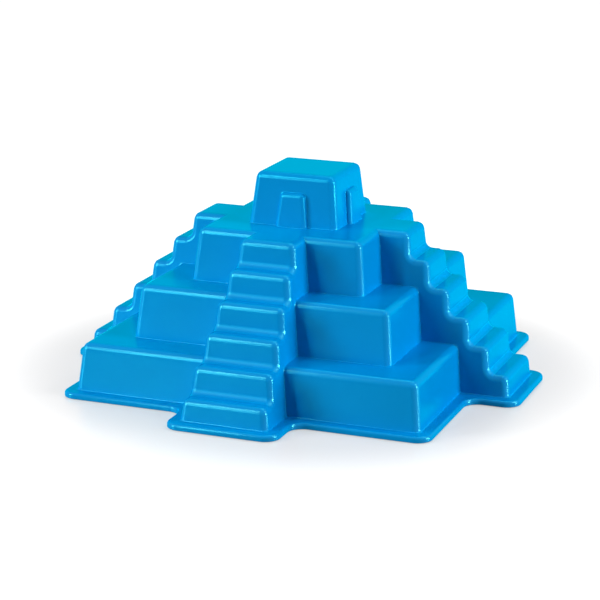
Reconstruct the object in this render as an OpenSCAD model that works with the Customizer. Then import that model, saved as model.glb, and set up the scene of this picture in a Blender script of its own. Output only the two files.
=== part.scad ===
// Sand mould in the shape of a stepped pyramid: three square tiers, a stairway up each side and
// a small temple on top. The real one is a single thin shell, moulded in one shot and open
// underneath, so it is one solid here too, built up from the forms that a person would name.
// Millimetres, +Z up, with the origin on the ground under the middle of the rim.

/* [Shell] */
// Thickness of the walls
wall = 2; // [1.4:0.1:3]
// Lean of every wall, in degrees from upright, which lets the sand slide out
draft = 6.2; // [3:0.1:9]
// Radius of the rounded outer edges
edge_r = 3.6; // [3.2:0.1:5]
// Radius of the hollow at the foot of a riser
cove_r = 3.4; // [2:0.1:4]

/* [Tiers] */
// Number of tiers
tier_count = 3; // [2:1:4]
// Steps of the stairways that one tier is high
tier_steps = 2; // [2:1:3]
// Width of the deck, which is the top of the highest tier
deck_w = 85.6; // [76:0.1:110]

/* [Stairways] */
// Height from one step to the next
riser_h = 13.25; // [11:0.05:18]
// Height of the lowest step above the ground
first_step_h = 13.5; // [10:0.1:20]
// Depth from one nose to the next
tread_run = 11; // [9.5:0.1:15]
// Width of the landing at the top of a stairway
stair_w = 28.6; // [20:0.1:40]
// Reach of the landing beyond the edge of the deck
landing_out = 15.2; // [12:0.1:24]

/* [Temple] */
// Width of the temple's roof
temple_w = 41.8; // [34:0.1:56]
// Height of the temple above the deck
temple_h = 26.2; // [22:0.1:40]
// Width of a doorway at its top
door_w = 12.8; // [8:0.1:20]
// Height of a doorway
door_h = 17; // [12:0.1:20]
// Relief of a doorway from the temple's wall
door_out = 2.7; // [1:0.1:6]
// Radius of a doorway's top corners
door_r = 2.4; // [2.2:0.1:3.5]

/* [Rim] */
// Overhang of the rim beyond the foot of the walls
rim_w = 6; // [4:0.1:12]
// Thickness of the rim
rim_t = 3; // [2:0.1:5]
// Radius of the rim's corners, seen from above
rim_corner_r = 7.7; // [4:0.1:9]

/* [Hidden] */
plastic = [0.02, 0.55, 0.84];
// Every cut runs past the face it opens by this much, and every form is sunk as deep into the next
overrun = 1;
// Chords in a rounded edge, and facets in a turned corner
arc_steps = 6;
$fn = 48;
// Least radius that an inner edge keeps, as a share of the outer edge's
least_edge_share = 0.15;
step_count = tier_count * tier_steps;
deck_z = first_step_h + (step_count - 1) * riser_h;
// Outlines that meet each other are drawn to this grid, so that they meet exactly
grid = 0.001;
// A top edge moves in by this share of the distance that the surface is moved in
edge_inset_share = (1 - sin(draft)) / cos(draft);
quarter_turns = [0, 90, 180, 270];

// Distance that a wall leans out over a height
function lean(height) = height * tan(draft);
// Height of a step's tread, counted from the lowest one up
function step_z(i) = first_step_h + (i - 1) * riser_h;
// Distance of a step's nose from the middle
function step_nose(i) = deck_w / 2 + landing_out + (step_count - i) * tread_run;
// Height and half width of a tier's top, which is level with every tier_steps-th step
function tier_z(j) = step_z(j * tier_steps);
function tier_half(j) = deck_w / 2 + (tier_count - j) * tier_steps * tread_run;
// Radius of an outer edge on a surface that lies a distance further in
function edge_radius(r, inset) = max(r - inset, r * least_edge_share);

// A number, or each number in a list, moved to the grid
function on_grid(v) = is_num(v) ? grid * round(v / grid) : [for (item = v) on_grid(item)];
function unit(v) = v / norm(v);
function bearing(v) = atan2(v.y, v.x);
// Turn from one bearing to another the short way round
function turn(from, to) = (to - from + 540) % 360 - 180;
// Closed outline with each corner rounded to its own radius
function rounded(points, radii) = [
    for (i = [0 : len(points) - 1])
        let (
            corner = points[i],
            u = unit(points[(i + len(points) - 1) % len(points)] - corner),
            v = unit(points[(i + 1) % len(points)] - corner),
            half_angle = acos(u * v) / 2,
            centre = corner + unit(u + v) * radii[i] / sin(half_angle),
            start = bearing(corner + u * radii[i] / tan(half_angle) - centre),
            end = bearing(corner + v * radii[i] / tan(half_angle) - centre)
        )
        each radii[i] == 0 ? [corner] : [
            for (s = [0 : arc_steps])
                let (a = start + turn(start, end) * s / arc_steps)
                centre + radii[i] * [cos(a), sin(a)]
        ]
];

// Upright outline of a form that leans in on both sides, with its top corners rounded
function leaning_outline(half, top, foot, r) = rounded(
    [
        [half + lean(top - foot), foot],
        [half, top],
        [-half, top],
        [-half - lean(top - foot), foot]
    ],
    [0, r, r, 0]
);

// Solid whose outline is side_points seen along X and front_points seen along Y
module crossed(side_points, front_points, reach) {
    intersection() {
        rotate([90, 0, 90])
            linear_extrude(height = 2 * reach, center = true) polygon(side_points);
        rotate([90, 0, 0])
            linear_extrude(height = 2 * reach, center = true) polygon(front_points);
    }
}

// Square block with leaning sides, its top edges and its upright corners rounded alike
module soft_block(half, top, foot, inset) {
    r = edge_radius(edge_r, inset);
    corner_r = edge_r - inset * edge_inset_share;
    flat_half = on_grid(half - edge_r);
    // One side of the outline, measured from where the corner turns
    side = on_grid([for (p = leaning_outline(corner_r, top - inset, foot, r)) if (p.x > 0) p]);
    last = len(side) - 1;
    for (a = [0, 90])
        rotate([90, 0, a])
            linear_extrude(height = 2 * flat_half, center = true)
                polygon(concat(
                    [for (p = side) p + [flat_half, 0]],
                    [for (i = [last : -1 : 0]) [-side[i].x - flat_half, side[i].y]]
                ));
    for (a = quarter_turns)
        rotate(a) translate([flat_half, flat_half])
            rotate_extrude(angle = 90)
                polygon(concat([[0, side[0].y]], side, [[0, side[last].y]]));
}

// The tiers, each sunk into the one below
module tiers(inset, foot) {
    for (j = [1 : tier_count])
        soft_block(tier_half(j), tier_z(j), j == 1 ? foot : tier_z(j - 1) - inset - overrun, inset);
}

// Outline of two stairways back to back: treads and risers from the ground up to the landing
function stairway_outline(inset, foot) =
    let (
        dx = inset * edge_inset_share,
        climb = [
            for (i = [1 : step_count])
                let (below = i == 1 ? foot : step_z(i - 1) - inset)
                each [
                    [step_nose(i) - dx + lean(step_z(i) - inset - below), below],
                    [step_nose(i) - dx, step_z(i) - inset]
                ]
        ],
        radii = [
            for (i = [1 : step_count])
                each [i == 1 ? 0 : cove_r + inset, edge_radius(edge_r, inset)]
        ],
        last = len(climb) - 1
    )
    rounded(
        concat(climb, [for (i = [last : -1 : 0]) [-climb[i].x, climb[i].y]]),
        concat(radii, [for (i = [last : -1 : 0]) radii[i]])
    );

// The four stairways, as two bars that cross under the temple
module stairways(inset, foot) {
    top = deck_z + overrun;
    half = stair_w / 2 - lean(overrun) - inset / cos(draft);
    for (a = [0, 90])
        rotate(a)
            crossed(stairway_outline(inset, foot), leaning_outline(half, top, foot, 0), step_nose(0) + rim_w);
}

// The temple's block
module temple(inset) {
    soft_block(temple_w / 2, deck_z + temple_h, deck_z - inset - overrun, inset);
}

// A doorway in relief on each wall of the temple, as two bars through it
module doorways(inset) {
    top = deck_z + door_h - inset;
    foot = deck_z - inset - overrun;
    dx = inset * edge_inset_share;
    reach = temple_w / 2 + lean(temple_h - door_h) + door_out;
    r = edge_radius(door_r, inset);
    for (a = [0, 90])
        rotate(a)
            crossed(
                leaning_outline(reach - dx, top, foot, r),
                leaning_outline(door_w / 2 - dx, top, foot, r),
                temple_w
            );
}

// Everything above the ground, with its surface moved in by a distance
module pyramid(inset, foot) {
    tiers(inset, foot);
    stairways(inset, foot);
    temple(inset);
    doorways(inset);
}

// Flat rim that follows the foot of the walls all the way round
module rim() {
    tier_edge = tier_half(1) + lean(tier_z(1) - rim_t) + rim_w;
    stair_edge = step_nose(1) + lean(step_z(1) - rim_t) + rim_w;
    stair_side = stair_w / 2 + lean(deck_z - rim_t) + rim_w;
    r = min(rim_corner_r, (stair_edge - tier_edge) / 2, (tier_edge - stair_side) / 2);
    corners = [
        for (a = quarter_turns)
            each [
                for (p = [[stair_edge, -stair_side], [stair_edge, stair_side], [tier_edge, stair_side],
                          [tier_edge, tier_edge], [stair_side, tier_edge]])
                    [p.x * cos(a) - p.y * sin(a), p.x * sin(a) + p.y * cos(a)]
            ]
    ];
    linear_extrude(height = rim_t) polygon(rounded(corners, [for (p = corners) r]));
}

module mould_shell() {
    color(plastic)
        difference() {
            union() {
                pyramid(0, 0);
                rim();
            }
            pyramid(wall, -overrun);
        }
}

mould_shell();
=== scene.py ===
"""Sand mould in the shape of a stepped pyramid, seen at the photograph's angle.

The real toy is one thin blue shell, so the scene has one piece besides its floor. Sizes are in
millimetres and are made metres where a mesh takes them, unless a comment says that they are metres.
"""

import bmesh
import bpy
import numpy as np
from mathutils import Matrix, Quaternion, Vector


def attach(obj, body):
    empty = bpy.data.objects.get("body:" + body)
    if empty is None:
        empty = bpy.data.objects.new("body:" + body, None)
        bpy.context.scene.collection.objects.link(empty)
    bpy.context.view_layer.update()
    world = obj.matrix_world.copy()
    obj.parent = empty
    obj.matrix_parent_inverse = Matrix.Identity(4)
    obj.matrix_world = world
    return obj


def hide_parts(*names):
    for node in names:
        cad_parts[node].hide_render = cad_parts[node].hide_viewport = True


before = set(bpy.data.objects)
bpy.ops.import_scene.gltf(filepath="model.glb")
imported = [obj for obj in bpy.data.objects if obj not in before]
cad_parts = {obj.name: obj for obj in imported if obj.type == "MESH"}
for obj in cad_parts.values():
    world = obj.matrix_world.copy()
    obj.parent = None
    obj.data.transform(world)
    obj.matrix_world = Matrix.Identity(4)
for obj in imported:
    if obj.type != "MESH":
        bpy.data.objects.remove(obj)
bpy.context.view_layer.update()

# ---------------------------------------------------------------------------------------------
# Camera. A long lens looks down at the toy's front and right sides, as in the photograph. Its
# place was found by fitting the outline of the whole toy, steps and rim included.
# ---------------------------------------------------------------------------------------------
MM = 0.001
CAMERA_TURN = np.radians(20.632)
CAMERA_RISE = np.radians(15.477)
CAMERA_ROLL = np.radians(0.401)
CAMERA_DISTANCE = 1077.7
CAMERA_TARGET = np.array([-4.357, 0.0, 35.142])
# Focal length and picture width in pixels of the photograph
FOCAL_PIXELS, PHOTO_WIDTH = 2083.8, 600
SENSOR_WIDTH = 36.0
# Nearest and farthest distance that the camera shows, in metres
CLIP_NEAR, CLIP_FAR = 0.05, 20.0

back = np.array([
    np.sin(CAMERA_TURN) * np.cos(CAMERA_RISE),
    -np.cos(CAMERA_TURN) * np.cos(CAMERA_RISE),
    np.sin(CAMERA_RISE),
])
level = np.cross([0.0, 0.0, 1.0], back)
level /= np.linalg.norm(level)
upward = np.cross(back, level)
right = np.cos(CAMERA_ROLL) * level + np.sin(CAMERA_ROLL) * upward
upward = np.cross(back, right)

camera_data = bpy.data.cameras.new("photo_camera")
camera_data.sensor_width = SENSOR_WIDTH
camera_data.lens = FOCAL_PIXELS * SENSOR_WIDTH / PHOTO_WIDTH
camera_data.clip_start, camera_data.clip_end = CLIP_NEAR, CLIP_FAR
camera = bpy.data.objects.new("photo_camera", camera_data)
bpy.context.scene.collection.objects.link(camera)
camera_place = Matrix.Translation(Vector((CAMERA_TARGET + back * CAMERA_DISTANCE) * MM))
camera_axes = Matrix(np.stack([right, upward, back], axis=1).tolist()).to_4x4()
camera.matrix_world = camera_place @ camera_axes
bpy.context.scene.camera = camera

# ---------------------------------------------------------------------------------------------
# Shell. The toy is a single skin of blue polypropylene, 2 mm thick and open underneath, moulded
# in one shot: a rim, three tiers, a stairway up each side and a small temple with four doorways.
# Every wall leans in by the same angle, so that both the mould and the sand come away cleanly.
# ---------------------------------------------------------------------------------------------
WALL = 2.0
DRAFT = np.radians(6.2)

TIERS, STEPS_PER_TIER = 3, 2
STEPS = TIERS * STEPS_PER_TIER
DECK_WIDTH = 85.6
RISER, FIRST_STEP, TREAD = 13.25, 13.5, 11.0
STEP_COVE = 3.4
STAIR_WIDTH = 28.6
LANDING_REACH = 15.2
DECK_HEIGHT = FIRST_STEP + (STEPS - 1) * RISER

TEMPLE_WIDTH, TEMPLE_HEIGHT = 41.8, 26.2
DOOR_WIDTH, DOOR_HEIGHT, DOOR_RELIEF = 12.8, 17.0, 2.7

RIM_WIDTH, RIM_THICKNESS, RIM_CORNER = 6.0, 3.0, 7.7

# Chords in the coves of the stairways and in the corners of the rim
STEP_COVE_CHORDS, RIM_CORNER_CHORDS = 8, 12
# Points nearer than this are one point, and this many decimals tell points apart
SAME_POINT, POINT_DECIMALS = 1e-6, 4
# Cosine and sine of each turn that carries one quarter of the skin to another
QUARTERS = ((1, 0), (0, 1), (-1, 0), (0, -1))


def lean(height):
    """Distance that a wall leans out over a height: the height times the tangent of the draft."""
    return height * np.tan(DRAFT)


def set_in(skin):
    """Distance that a top edge moves in on a surface that lies `skin` further in.

    It is `skin` times (1 - sine of the draft) / cosine of the draft.
    """
    return skin * (1 - np.sin(DRAFT)) / np.cos(DRAFT)


def wall_profile(heights, reaches, foot, skin):
    """Reach and height of a flight of walls and ledges, two points for each wall.

    The wall below the top edge at (reach, height) starts at the ledge below it, or at the foot,
    and stands further out there by what it leans over its height.
    """
    tops = heights - skin
    feet = np.concatenate([[foot], tops[:-1]])
    top_reach = reaches - set_in(skin)
    out = np.stack([top_reach + lean(tops - feet), top_reach], axis=1)
    up = np.stack([feet, tops], axis=1)
    return out.ravel(), up.ravel()


def swept(out, up, near, far):
    """Points on a grid: the profile (out, up) carried sideways from `near` to `far` of each row."""
    side = np.stack([near, far], axis=1)
    out, up = (np.broadcast_to(line[:, None], side.shape) for line in (out, up))
    return np.stack([out, side, up], axis=2)


def quads(grid):
    """The four-cornered faces of a grid of points, as one array of shape (faces, 4, 3)."""
    corners = [grid[:-1, :-1], grid[1:, :-1], grid[1:, 1:], grid[:-1, 1:]]
    return np.stack(corners, axis=2).reshape(-1, 4, 3)


def at_height(plan, height):
    """A flat outline in plan, lifted to one height."""
    plan = np.asarray(plan, float)
    return np.column_stack([plan, np.full(len(plan), height)])


def mirrored(outline):
    """The same outline on the other side of the diagonal, with x and y changed over."""
    return outline[::-1][:, [1, 0, 2]]


def swapped(plan):
    """A flat outline on the other side of the diagonal, with x and y changed over."""
    return [point[::-1] for point in plan[::-1]]


def round_the_corner(half, diagonal):
    """A flat outline from `half` over the point on the diagonal to the same half beyond it."""
    return half + [(diagonal, diagonal)] + swapped(half)


def rounded(plan, radius, chords):
    """An open outline with each inner corner turned into an arc that touches both its sides.

    The centre of the arc lies on the bisector, at radius / sin(half angle) from the corner, and
    the arc runs from one foot of the centre to the other in equal angles. Each corner can have a
    radius of its own, and one with no radius stays sharp.
    """
    plan = np.asarray(plan, float)
    corner = plan[1:-1]
    radius = np.broadcast_to(np.asarray(radius, float), len(corner))
    back_way = plan[:-2] - corner
    on_way = plan[2:] - corner
    back_way /= np.linalg.norm(back_way, axis=1)[:, None]
    on_way /= np.linalg.norm(on_way, axis=1)[:, None]
    half_angle = np.arccos((back_way * on_way).sum(axis=1)) / 2
    bisector = back_way + on_way
    bisector /= np.linalg.norm(bisector, axis=1)[:, None]
    centre = corner + bisector * (radius / np.sin(half_angle))[:, None]
    reach = (radius / np.tan(half_angle))[:, None]
    start = corner + back_way * reach - centre
    end = corner + on_way * reach - centre
    first = np.arctan2(start[:, 1], start[:, 0])
    turn = np.arctan2(end[:, 1], end[:, 0]) - first
    turn = (turn + np.pi) % (2 * np.pi) - np.pi
    angle = first[:, None] + turn[:, None] * np.linspace(0, 1, chords + 1)
    arc = centre[:, None] + radius[:, None, None] * np.stack([np.cos(angle), np.sin(angle)], axis=2)
    outline = np.concatenate([plan[:1], arc.reshape(-1, 2), plan[-1:]])
    apart = np.linalg.norm(np.diff(outline, axis=0), axis=1) > SAME_POINT
    return outline[np.append(True, apart)]


def temple_of_skin(skin):
    """The temple between a doorway's middle and the diagonal, on a surface `skin` further in.

    Gives the faces of the wall and the doorway, the outline of their foot, and the roof's corner
    and height. Each foot stands further out than its top by what the wall leans between them, and
    the wall is cut away where the doorway stands out from it.
    """
    deck = DECK_HEIGHT - skin
    roof = DECK_HEIGHT + TEMPLE_HEIGHT - skin
    door_top = DECK_HEIGHT + DOOR_HEIGHT - skin
    top = TEMPLE_WIDTH / 2 - set_in(skin)
    foot = top + lean(roof - deck)
    wall_at_door = top + lean(roof - door_top)
    door_side = DOOR_WIDTH / 2 - set_in(skin)
    door_face = TEMPLE_WIDTH / 2 + lean(TEMPLE_HEIGHT - DOOR_HEIGHT) + DOOR_RELIEF - set_in(skin)
    door_foot_side = door_side + lean(door_top - deck)
    door_foot = door_face + lean(door_top - deck)
    wall_foot, wall_corner = (foot, door_foot_side, deck), (wall_at_door, door_side, door_top)
    wall_middle, face_middle = (wall_at_door, 0, door_top), (door_face, 0, door_top)
    face_foot, face_corner = (door_foot, door_foot_side, deck), (door_face, door_side, door_top)
    faces = [
        [(top, 0, roof), (top, top, roof), (foot, foot, deck), wall_foot, wall_corner, wall_middle],
        [(door_foot, 0, deck), face_middle, face_corner, face_foot],
        [face_middle, wall_middle, wall_corner, face_corner],
        [face_foot, face_corner, wall_corner, wall_foot],
    ]
    foot_plan = [(foot, foot), (foot, door_foot_side), (door_foot, door_foot_side), (door_foot, 0)]
    return [np.array(face) for face in faces], foot_plan, top, roof


def quarter_of_skin(skin, foot):
    """Faces of the pyramid between the middles of two stairways, on a surface `skin` further in.

    Stairway: its side profile carried from the middle to the stairway's side. Tiers: their side
    profile carried from there to the diagonal. The stairway's side joins the two profiles. The
    outline of the foot comes with the faces.
    """
    step_height = FIRST_STEP + np.arange(STEPS) * RISER
    step_reach = DECK_WIDTH / 2 + LANDING_REACH + np.arange(STEPS - 1, -1, -1) * TREAD
    tier_height = step_height[STEPS_PER_TIER - 1::STEPS_PER_TIER]
    tier_reach = DECK_WIDTH / 2 + np.arange(TIERS - 1, -1, -1) * STEPS_PER_TIER * TREAD

    def stair_side(up):
        return STAIR_WIDTH / 2 + lean(DECK_HEIGHT - up) - skin / np.cos(DRAFT)

    step_line = np.column_stack(wall_profile(step_height, step_reach, foot, skin))
    step_radii = np.tile([0.0, STEP_COVE + skin], STEPS - 1)
    step_out, step_up = rounded(step_line, step_radii, STEP_COVE_CHORDS).T
    tier_out, tier_up = wall_profile(tier_height, tier_reach, foot, skin)
    steps = swept(step_out, step_up, 0 * step_up, stair_side(step_up))
    tiers = swept(tier_out, tier_up, stair_side(tier_up), tier_out)
    stair_wall = np.concatenate([tiers[:, 0], steps[::-1, 1]])
    temple_faces, temple_foot, temple_top, roof = temple_of_skin(skin)
    half = [*quads(steps), *quads(tiers)[::2], stair_wall, *temple_faces]

    # Ledges of the lower tiers, round the corner from one stairway to the next
    across = []
    for foot_row in range(2, 2 * TIERS, 2):
        inner, outer, up = tier_out[foot_row], tier_out[foot_row - 1], tier_up[foot_row]
        ledge_end = [(inner, stair_side(up)), (outer, stair_side(up))]
        across.append(at_height(round_the_corner(ledge_end, outer) + [(inner, inner)], up))

    # The deck round the temple, and the temple's roof
    deck = DECK_HEIGHT - skin
    landing, side, tier_edge = step_out[-1], stair_side(deck), tier_out[-1]
    deck_half = [(landing, 0), (landing, side), (tier_edge, side)]
    deck_plan = round_the_corner(deck_half, tier_edge) + swapped(temple_foot[1:]) + temple_foot
    across.append(at_height(deck_plan, deck))
    across.append(at_height(
        [(0, 0), (temple_top, 0), (temple_top, temple_top), (0, temple_top)], roof))

    foot_half = [(step_out[0], 0), (step_out[0], stair_side(foot)), (tier_out[0], stair_side(foot))]
    foot_plan = round_the_corner(foot_half, tier_out[0])
    return half + [mirrored(face) for face in half] + across, foot_plan


def welded(faces):
    """Vertices and faces with shared corners, after the faces are turned to all four quarters."""
    sizes = [len(face) for face in faces]
    points = np.concatenate(faces)
    turns = np.array([[[c, -s, 0], [s, c, 0], [0, 0, 1]] for c, s in QUARTERS], float)
    points = np.einsum("qij,vj->qvi", turns, points).reshape(-1, 3)
    _, first, index = np.unique(
        points.round(POINT_DECIMALS), axis=0, return_index=True, return_inverse=True)
    ends = np.cumsum(sizes * len(QUARTERS))
    corners = np.split(index.ravel(), ends[:-1])
    return points[first], [corner.tolist() for corner in corners]


outer_faces, outer_foot = quarter_of_skin(0.0, RIM_THICKNESS)
inner_faces, inner_foot = quarter_of_skin(WALL, 0.0)

# The rim follows the foot of the walls all the way round
rim_tier = outer_foot[2][0] + RIM_WIDTH
rim_stair = outer_foot[0][0] + RIM_WIDTH
rim_side = outer_foot[1][1] + RIM_WIDTH
rim_half = [(rim_stair, 0), (rim_stair, rim_side), (rim_tier, rim_side)]
rim_plan = rounded(round_the_corner(rim_half, rim_tier), RIM_CORNER, RIM_CORNER_CHORDS)
rim_band = np.stack([at_height(rim_plan, 0), at_height(rim_plan, RIM_THICKNESS)])
outer_faces.append(at_height(np.concatenate([rim_plan, outer_foot[::-1]]), RIM_THICKNESS))
rim_faces = [at_height(np.concatenate([rim_plan, inner_foot[::-1]]), 0), *quads(rim_band)]
shell_points, shell_corners = welded(outer_faces + inner_faces + rim_faces)
face_counts = [len(outer_faces), len(inner_faces), len(rim_faces)]
face_is_inside = np.tile(np.repeat([False, True, False], face_counts), len(QUARTERS))
shell_mesh = bpy.data.meshes.new("mould_shell_skin")
shell_mesh.from_pydata((shell_points * MM).tolist(), [], shell_corners)

# The closed skin's faces are made to point out of the plastic
skin_of_faces = bmesh.new()
skin_of_faces.from_mesh(shell_mesh)
bmesh.ops.recalc_face_normals(skin_of_faces, faces=skin_of_faces.faces)
skin_of_faces.to_mesh(shell_mesh)
skin_of_faces.free()
shell_mesh.update()


def edges_of(mesh):
    """For each edge: the turn between its two faces, its ends, and the numbers of the faces.

    The turn is the angle between the normals n1 and n2. It counts as a ridge, and is positive,
    where (n1 x n2) . d is positive, with d the edge's direction in the first face.
    """
    loops, edges, faces = len(mesh.loops), len(mesh.edges), len(mesh.polygons)
    loop_edge, loop_vertex = np.zeros(loops, int), np.zeros(loops, int)
    mesh.loops.foreach_get("edge_index", loop_edge)
    mesh.loops.foreach_get("vertex_index", loop_vertex)
    corner_count, normal = np.zeros(faces, int), np.zeros(faces * 3)
    mesh.polygons.foreach_get("loop_total", corner_count)
    mesh.polygons.foreach_get("normal", normal)
    point, ends = np.zeros(len(mesh.vertices) * 3), np.zeros(edges * 2, int)
    mesh.vertices.foreach_get("co", point)
    mesh.edges.foreach_get("vertices", ends)
    normal, point, ends = normal.reshape(-1, 3), point.reshape(-1, 3), ends.reshape(-1, 2)
    loop_face = np.repeat(np.arange(faces), corner_count)
    pair = np.argsort(loop_edge, kind="stable").reshape(edges, 2)
    forward = ends[:, 0] == loop_vertex[pair[:, 0]]
    direction = (point[ends[:, 1]] - point[ends[:, 0]]) * np.where(forward, 1, -1)[:, None]
    n1, n2 = normal[loop_face[pair[:, 0]]], normal[loop_face[pair[:, 1]]]
    angle = np.arccos(np.clip((n1 * n2).sum(axis=1), -1, 1))
    side = (np.cross(n1, n2) * direction).sum(axis=1)
    return np.where(side > 0, angle, -angle), point[ends] / MM, loop_face[pair]


# Radii of the outer surface. Behind a ridge the inner surface turns tighter by the thickness of
# the wall, and behind a hollow it turns wider.
EDGE_RADIUS, FOOT_COVE_RADIUS = 3.6, 0.25
DOOR_EDGE_RADIUS, DOOR_COVE_RADIUS = 2.4, 0.2
RIM_EDGE_RADIUS, RIM_COVE_RADIUS = 1.5, 0.6
LIP_RADIUS = 0.35
LEAST_INNER_RADIUS, INNER_DOOR_RADIUS = 0.5, 0.9
CHORDS = 8
# Faces that go on smoothly into each other, as round the rim's corners, turn by less than this
SHARP_TURN = np.radians(30)
# Edges this near to a height lie at it, and one whose ends differ by less than this is level
CLOSE, LEVEL = 0.1, 0.01
# A doorway's edges lie within the first of these of the middle outward, and the second sideways
DOOR_FAR, DOOR_NEAR = TEMPLE_WIDTH * 0.75, DOOR_WIDTH * 0.8

turn, ends, faces_beside = edges_of(shell_mesh)
middle = ends.mean(axis=1)
level_edge = np.ptp(ends[:, :, 2], axis=1) < LEVEL
inside = face_is_inside[faces_beside].all(axis=1)
ridge = np.where(inside, turn < 0, turn > 0)
height = middle[:, 2] + np.where(inside, WALL, 0.0)
far, near = abs(middle[:, :2]).max(axis=1), abs(middle[:, :2]).min(axis=1)
on_temple_foot = level_edge & (abs(height - DECK_HEIGHT) < CLOSE) & (far < DOOR_FAR) & ~ridge
on_door = ((height > DECK_HEIGHT - CLOSE) & (height < DECK_HEIGHT + DOOR_HEIGHT + CLOSE)
           & (near < DOOR_NEAR) & (far < DOOR_FAR) & ~on_temple_foot)
on_rim_top = level_edge & (abs(middle[:, 2] - RIM_THICKNESS) < CLOSE)
radius = np.where(ridge, EDGE_RADIUS, FOOT_COVE_RADIUS)
radius = np.where(on_door, np.where(ridge, DOOR_EDGE_RADIUS, DOOR_COVE_RADIUS), radius)
radius = np.where(on_rim_top, np.where(ridge, RIM_EDGE_RADIUS, RIM_COVE_RADIUS), radius)
inner_radius = np.where(ridge, np.maximum(radius - WALL, LEAST_INNER_RADIUS), radius + WALL)
radius = np.where(inside, inner_radius, radius)
radius = np.where(inside & on_door, INNER_DOOR_RADIUS, radius)
radius = np.where(middle[:, 2] < CLOSE, LIP_RADIUS, radius)
reach_back = np.where(abs(turn) > SHARP_TURN, radius * np.tan(abs(turn) / 2), 0.0)
widest = float(reach_back.max())

# Share of each face in the coves at the feet of the risers, from 0 on the flat walls and ledges
# to nearly 1 in the middle of a cove: the sine of twice the slope, stretched so that a wall's
# becomes 0, less a small margin
FLAT_MARGIN = 0.01
face_normal = np.zeros(len(shell_mesh.polygons) * 3)
shell_mesh.polygons.foreach_get("normal", face_normal)
slope = np.arcsin(np.clip(abs(face_normal[2::3]), 0, 1))
wall_sine = np.sin(2 * DRAFT)
cove_share = np.clip((np.sin(2 * slope) - wall_sine) / (1 - wall_sine) - FLAT_MARGIN, 0, 1)
hollow = shell_mesh.attributes.new("hollow", "FLOAT", "FACE")
hollow.data.foreach_set("value", cove_share.astype(np.float32))
weight = shell_mesh.attributes.new("bevel_weight_edge", "FLOAT", "EDGE")
weight.data.foreach_set("value", (reach_back / widest).astype(np.float32))

shell = bpy.data.objects.new("mould_shell_skin", shell_mesh)
bpy.context.scene.collection.objects.link(shell)
rounding = shell.modifiers.new("rounded_edges", "BEVEL")
rounding.limit_method = "WEIGHT"
rounding.offset_type = "OFFSET"
rounding.width = widest * MM
rounding.segments = CHORDS
rounding.profile = 0.5
rounding.use_clamp_overlap = False
rounding.harden_normals = True
shell_mesh.polygons.foreach_set("use_smooth", np.ones(len(shell_mesh.polygons), bool))


def shader_node(tree, kind, sockets=(), **options):
    """A new node of a material, with its options set and values or links in its sockets."""
    made = tree.nodes.new(kind)
    for name, value in options.items():
        setattr(made, name, value)
    for name, value in dict(sockets).items():
        if isinstance(value, bpy.types.NodeSocket):
            tree.links.new(value, made.inputs[name])
        else:
            made.inputs[name].default_value = value
    return made


def maths(tree, operation, *terms):
    """The result of a sum, product or comparison of numbers and the outputs of other nodes."""
    made = shader_node(tree, "ShaderNodeMath", dict(enumerate(terms)), operation=operation)
    return made.outputs[0]


def ranged(tree, value, start, end, low=0.0, high=1.0, **options):
    """A value moved from the range `start` to `end` into `low` to `high`, and held in there."""
    sockets = {"Value": value, "From Min": start, "From Max": end, "To Min": low, "To Max": high}
    return shader_node(tree, "ShaderNodeMapRange", sockets, **options).outputs["Result"]


def noise(tree, place, scale, detail, distortion=0.0):
    """Noise that is fixed to the object: `scale` waves to the metre, each with finer `detail`."""
    sockets = {"Vector": place, "Scale": scale, "Detail": detail, "Distortion": distortion}
    return shader_node(tree, "ShaderNodeTexNoise", sockets).outputs["Fac"]


# The pigment flowed a little unevenly, so the blue drifts between two close shades
DEEP_BLUE, PALE_BLUE = (0.0, 0.190, 0.485, 1.0), (0.0, 0.201, 0.515, 1.0)
FLOW_SCALE, FLOW_DISTORTION, SPECKLE_SCALE, SPECKLE_SHARE = 24.0, 0.6, 620.0, 0.3
DEEP_FLOW, PALE_FLOW = 0.45, 0.85
# The gloss takes on the pigment's blue, and its grain holds a little of it back at low angles,
# where the plastic mirrors a larger share of the light
FACING_TINT, GRAZING_TINT = (0.04, 0.93, 0.99, 1.0), (0.0, 0.84, 0.95, 1.0)
FACING_SHARE, GRAZING_SHARE = 0.05, 0.15
# It is paler where hands rub the edges of the steps and tiers: fully so below the first of these
# heights, in metres, and not at all above the second, where the temple stands
RUBBED_TINT = (0.16, 1.0, 0.88, 1.0)
RUBBED_BELOW, UNRUBBED_ABOVE = 0.078, 0.083
POLYPROPYLENE_IOR = 1.49
# Roughness of the flat walls, how much smoother the rounded edges are, where hands polish them,
# and how much rougher the hollows are, which nothing rubs
WALL_ROUGHNESS, SMUDGE_ROUGHNESS, EDGE_POLISH, HOLLOW_GRAIN = 0.22, 0.03, 0.03, 0.28
SMUDGE_SCALE, CLEAN, SMUDGED = 55.0, 0.3, 0.7
# Largest part of a flat wall's normal along one of the object's axes, and of a rounded edge's
FLAT_PART, ROUND_PART = 0.98, 0.80
# The fine satin grain, and the slight waves that the mould leaves, with their heights in metres
GRAIN_SCALE, GRAIN_HEIGHT = 1500.0, 0.000004
WAVE_SCALE, WAVE_HEIGHT = 38.0, 0.00008

plastic = bpy.data.materials.new("blue_polypropylene")
plastic.use_nodes = True
tree = plastic.node_tree
coordinates = shader_node(tree, "ShaderNodeTexCoord").outputs
place, facing_way = coordinates["Object"], coordinates["Normal"]

flow = noise(tree, place, FLOW_SCALE, detail=2.0, distortion=FLOW_DISTORTION)
speckle = noise(tree, place, SPECKLE_SCALE, detail=2.0)
drift = maths(tree, "MULTIPLY_ADD", speckle, SPECKLE_SHARE, flow)
blue = shader_node(tree, "ShaderNodeMixRGB", {
    "Fac": ranged(tree, drift, DEEP_FLOW, PALE_FLOW), "Color1": DEEP_BLUE, "Color2": PALE_BLUE})

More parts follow.
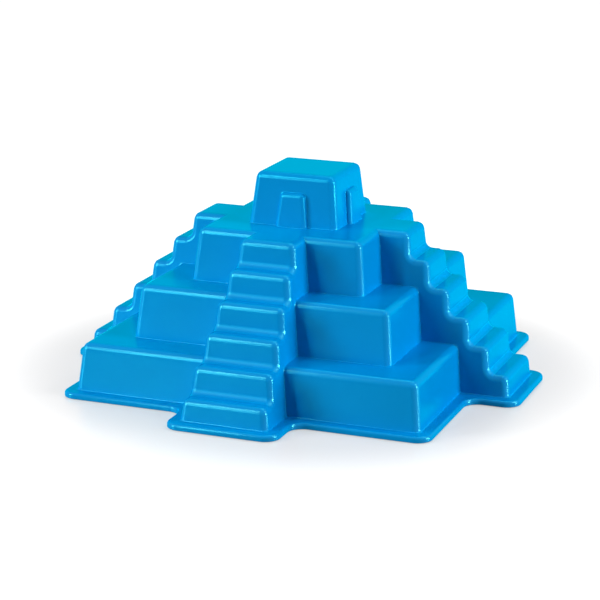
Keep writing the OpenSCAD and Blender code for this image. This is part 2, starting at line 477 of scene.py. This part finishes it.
# A rounded edge is where the normal leans away from all three of the object's axes
leans = shader_node(tree, "ShaderNodeVectorMath", {0: facing_way}, operation="ABSOLUTE")
parts = shader_node(tree, "ShaderNodeSeparateXYZ", {0: leans.outputs[0]}).outputs
widest_part = maths(tree, "MAXIMUM", maths(tree, "MAXIMUM", parts["X"], parts["Y"]), parts["Z"])
on_edge = ranged(tree, widest_part, FLAT_PART, ROUND_PART)

smudges = noise(tree, place, SMUDGE_SCALE, detail=4.0)
satin = ranged(tree, smudges, CLEAN, SMUDGED,
               WALL_ROUGHNESS - SMUDGE_ROUGHNESS / 2, WALL_ROUGHNESS + SMUDGE_ROUGHNESS / 2)
polished = maths(tree, "MULTIPLY_ADD", on_edge, -EDGE_POLISH, satin)
in_hollow = shader_node(tree, "ShaderNodeAttribute", attribute_name="hollow").outputs["Fac"]
rough = maths(tree, "MULTIPLY_ADD", in_hollow, HOLLOW_GRAIN, polished)

waved = shader_node(tree, "ShaderNodeBump", {
    "Distance": WAVE_HEIGHT, "Height": noise(tree, place, WAVE_SCALE, detail=1.0)})
grained = shader_node(tree, "ShaderNodeBump", {
    "Distance": GRAIN_HEIGHT, "Height": noise(tree, place, GRAIN_SCALE, detail=1.0),
    "Normal": waved.outputs["Normal"]}).outputs["Normal"]

# The gloss lies over the blue by the share that such a plastic mirrors at each angle
mirrored_share = shader_node(tree, "ShaderNodeFresnel", {
    "IOR": POLYPROPYLENE_IOR, "Normal": grained}).outputs[0]
above_ground = shader_node(tree, "ShaderNodeSeparateXYZ", {0: place}).outputs["Z"]
below_temple = ranged(tree, above_ground, UNRUBBED_ABOVE, RUBBED_BELOW)
facing_tint = shader_node(tree, "ShaderNodeMixRGB", {
    "Fac": maths(tree, "MULTIPLY", on_edge, below_temple),
    "Color1": FACING_TINT, "Color2": RUBBED_TINT}).outputs["Color"]
tint = shader_node(tree, "ShaderNodeMixRGB", {
    "Fac": ranged(tree, mirrored_share, FACING_SHARE, GRAZING_SHARE),
    "Color1": facing_tint, "Color2": GRAZING_TINT}).outputs["Color"]
gloss = shader_node(tree, "ShaderNodeBsdfGlossy", {
    "Color": tint, "Roughness": rough, "Normal": grained}, distribution="BECKMANN")
surface = tree.nodes["Principled BSDF"]
surface.inputs["Specular IOR Level"].default_value = 0.0
tree.links.new(blue.outputs["Color"], surface.inputs["Base Color"])
tree.links.new(grained, surface.inputs["Normal"])
finish = shader_node(tree, "ShaderNodeMixShader", {
    0: mirrored_share, 1: surface.outputs[0], 2: gloss.outputs[0]})
tree.links.new(finish.outputs[0], tree.nodes["Material Output"].inputs["Surface"])
shell_mesh.materials.append(plastic)

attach(shell, "root")
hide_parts("mould_shell")

# ---------------------------------------------------------------------------------------------
# Floor. A sheet of white paper with a satin sheen, which runs on past the picture. It keeps the
# toy's soft shadow and mirrors the low lamp into the toy's upright corners. Its own glow is weaker
# near the toy, which paints a soft shade round the base, and further off it goes over into the
# pure white of the room behind it.
# ---------------------------------------------------------------------------------------------
FLOOR_WIDTH = 6000.0
# The paper lies this much below the ground, so that it doesn't touch the underside of the rim
FLOOR_DROP = 0.2
PAPER = (0.25, 0.25, 0.25, 1.0)
WHITE = (1.0, 1.0, 1.0, 1.0)
PAPER_SHEEN, PAPER_IOR = 0.38, 1.45
# Distances from the middle, in metres, over which the paper's own glow rises to the pure white,
# and how strong that glow is at each. The weaker glow near the toy is a painted shade round its
# base.
SHADOW_REACH, WHITE_REACH = 0.118, 0.195
NEAR_GLOW, FAR_GLOW = 0.53, 1.0

corners = np.array([(-1, -1), (1, -1), (1, 1), (-1, 1)]) * FLOOR_WIDTH / 2
floor_mesh = bpy.data.meshes.new("floor")
floor_mesh.from_pydata((at_height(corners, -FLOOR_DROP) * MM).tolist(), [], [(0, 1, 2, 3)])
floor = bpy.data.objects.new("floor", floor_mesh)
bpy.context.scene.collection.objects.link(floor)


def seen_in_white(tree):
    """Share that is 1 for rays that show a background: from the camera, mirrored or let through."""
    rays = shader_node(tree, "ShaderNodeLightPath").outputs
    seen = maths(tree, "MAXIMUM", rays["Is Camera Ray"], rays["Is Glossy Ray"])
    return maths(tree, "MAXIMUM", seen, rays["Is Transmission Ray"])


paper = bpy.data.materials.new("white_paper")
paper.use_nodes = True
tree = paper.node_tree
tree.nodes.clear()
place = shader_node(tree, "ShaderNodeTexCoord").outputs["Object"]
reach = shader_node(tree, "ShaderNodeVectorMath", {0: place}, operation="LENGTH").outputs["Value"]
# Painted shade: the glow is weaker near the toy, so the paper looks darker round the base
glow_with_painted_shade = ranged(tree, reach, SHADOW_REACH, WHITE_REACH, NEAR_GLOW, FAR_GLOW,
              interpolation_type="SMOOTHSTEP")
matt = shader_node(tree, "ShaderNodeBsdfDiffuse", {"Color": PAPER}).outputs[0]
glow = shader_node(tree, "ShaderNodeEmission", {"Strength": glow_with_painted_shade}).outputs[0]
lit = shader_node(tree, "ShaderNodeAddShader", {0: matt, 1: glow}).outputs[0]
sheen = shader_node(tree, "ShaderNodeBsdfGlossy", {"Color": WHITE, "Roughness": PAPER_SHEEN})
sheen_share = shader_node(tree, "ShaderNodeFresnel", {"IOR": PAPER_IOR}).outputs[0]
satin = shader_node(tree, "ShaderNodeMixShader", {0: sheen_share, 1: lit, 2: sheen.outputs[0]})
pick = shader_node(tree, "ShaderNodeMixShader", {
    0: seen_in_white(tree), 1: matt, 2: satin.outputs[0]})
shader_node(tree, "ShaderNodeOutputMaterial", {"Surface": pick.outputs[0]})
floor_mesh.materials.append(paper)

# ---------------------------------------------------------------------------------------------
# Lamps. A big soft box lights the front, and a slim strip beside it draws the pale lines on the
# noses of the steps. At the right, a low box draws those on the upright corners and a higher one
# lights the walls. The last lights the tops. The room gives no light, and shows as white.
# ---------------------------------------------------------------------------------------------
# Distance of the lamps and the height that they aim at, in metres
LAMP_DISTANCE = 1.5
AIM_HEIGHT = 0.04


def soft_box(name, turn, rise, width, tall, power, tilt=0):
    """A rectangular lamp that faces the toy from `turn` degrees to the right and `rise` upward.

    The sine and cosine of the turn give its bearing, and the sine of the rise its height. A `tilt`
    in degrees leans its top to the left, as seen from in front of the toy.
    """
    turn, rise = np.radians(turn), np.radians(rise)
    direction = Vector((np.sin(turn) * np.cos(rise), -np.cos(turn) * np.cos(rise), np.sin(rise)))
    data = bpy.data.lights.new(name, "AREA")
    data.shape = "RECTANGLE"
    data.size, data.size_y = width, tall
    data.energy = power
    lamp = bpy.data.objects.new(name, data)
    bpy.context.scene.collection.objects.link(lamp)
    lamp.location = Vector((0, 0, AIM_HEIGHT)) + direction * LAMP_DISTANCE
    lamp.rotation_mode = "QUATERNION"
    leaning = Quaternion((0, 0, 1), np.radians(tilt))
    lamp.rotation_quaternion = direction.to_track_quat("Z", "Y") @ leaning
    lamp.visible_camera = False


# Turn and rise in degrees, width and height in metres, power in watts
soft_box("left_front_box", -54, 20, 0.46, 0.85, 22.4)
soft_box("slim_front_strip", -28, 32, 0.12, 1.2, 9.0, tilt=14)
soft_box("low_right_box", 94, 9.2, 0.6, 0.25, 21)
soft_box("right_box", 97, 44, 0.4, 0.7, 12.4)
soft_box("top_box", 185, 68, 0.9, 0.7, 4.6)

# How strongly the room lights the toy, and how strongly it shows behind it and in its gloss
ROOM_LIGHT, ROOM_WHITE = 0.0, 1.0
world = bpy.data.worlds.new("pale_room")
bpy.context.scene.world = world
world.use_nodes = True
tree = world.node_tree
tree.nodes.clear()
unlit, white = (
    shader_node(tree, "ShaderNodeBackground", {"Color": WHITE, "Strength": strength}).outputs[0]
    for strength in (ROOM_LIGHT, ROOM_WHITE))
pick = shader_node(tree, "ShaderNodeMixShader", {0: seen_in_white(tree), 1: unlit, 2: white})
shader_node(tree, "ShaderNodeOutputWorld", {"Surface": pick.outputs[0]})
bpy.context.scene.view_settings.view_transform = "Standard"
